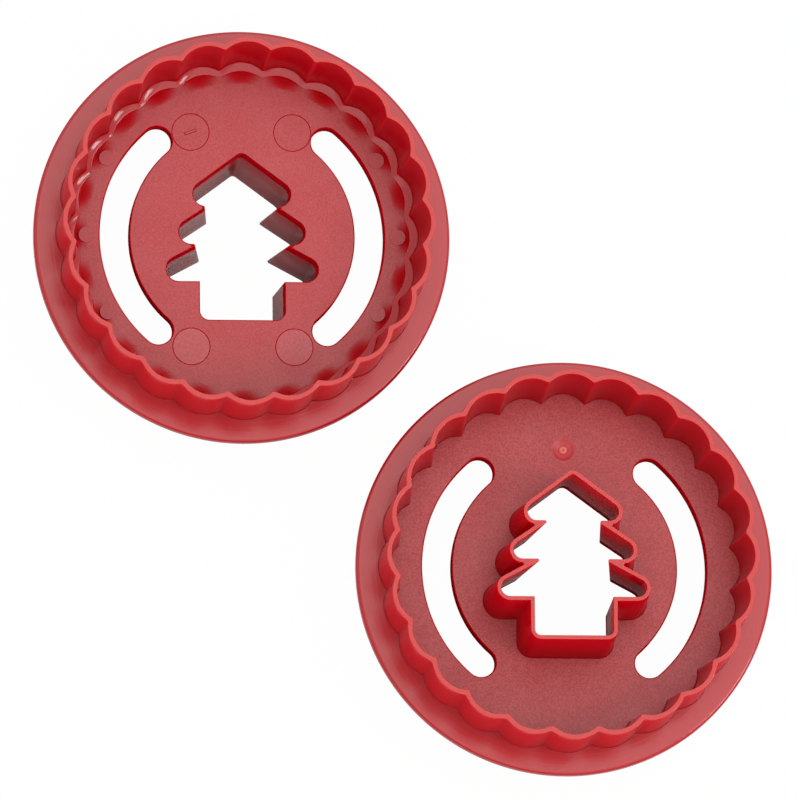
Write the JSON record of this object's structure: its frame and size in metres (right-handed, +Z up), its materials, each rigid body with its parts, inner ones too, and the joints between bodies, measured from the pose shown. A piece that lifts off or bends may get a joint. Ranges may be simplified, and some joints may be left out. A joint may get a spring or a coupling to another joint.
{
  "type": "linzer cookie cutter",
  "caption": "Double-sided round cookie cutter in red plastic with fluted cutting walls and a tree-shaped window wall, as a pair lying one each way up.",
  "frame": {"origin": "on the table, midway between the two cutters, at the middle of their shared box", "axes": "+X to the right and +Y to the tree's top, as the picture shows the pair, +Z up off the table"},
  "size_m": [0.1344, 0.1368, 0.034],
  "materials": {
    "plate": "fine grained red plastic, moulded against a textured tool",
    "flange": "satin red plastic with faint turned rings",
    "wall": "glossy deep red plastic, moulded against a polished tool"
  },
  "bodies": {
    "left_cutter": {"left_press_flange": "flange", "left_centre_plate": "plate", "left_plain_side_wall": "wall", "left_window_side_wall": "wall", "left_tree_wall": "wall"},
    "right_cutter": {"right_press_flange": "flange", "right_centre_plate": "plate", "right_plain_side_wall": "wall", "right_window_side_wall": "wall", "right_tree_wall": "wall"}
  },
  "joints": [
    {"name": "right_cutter_lift", "type": "slide", "parent": "left_cutter", "child": "right_cutter", "axis": [0, 0, 1], "range_m": [0, 0.06]}
  ]
}
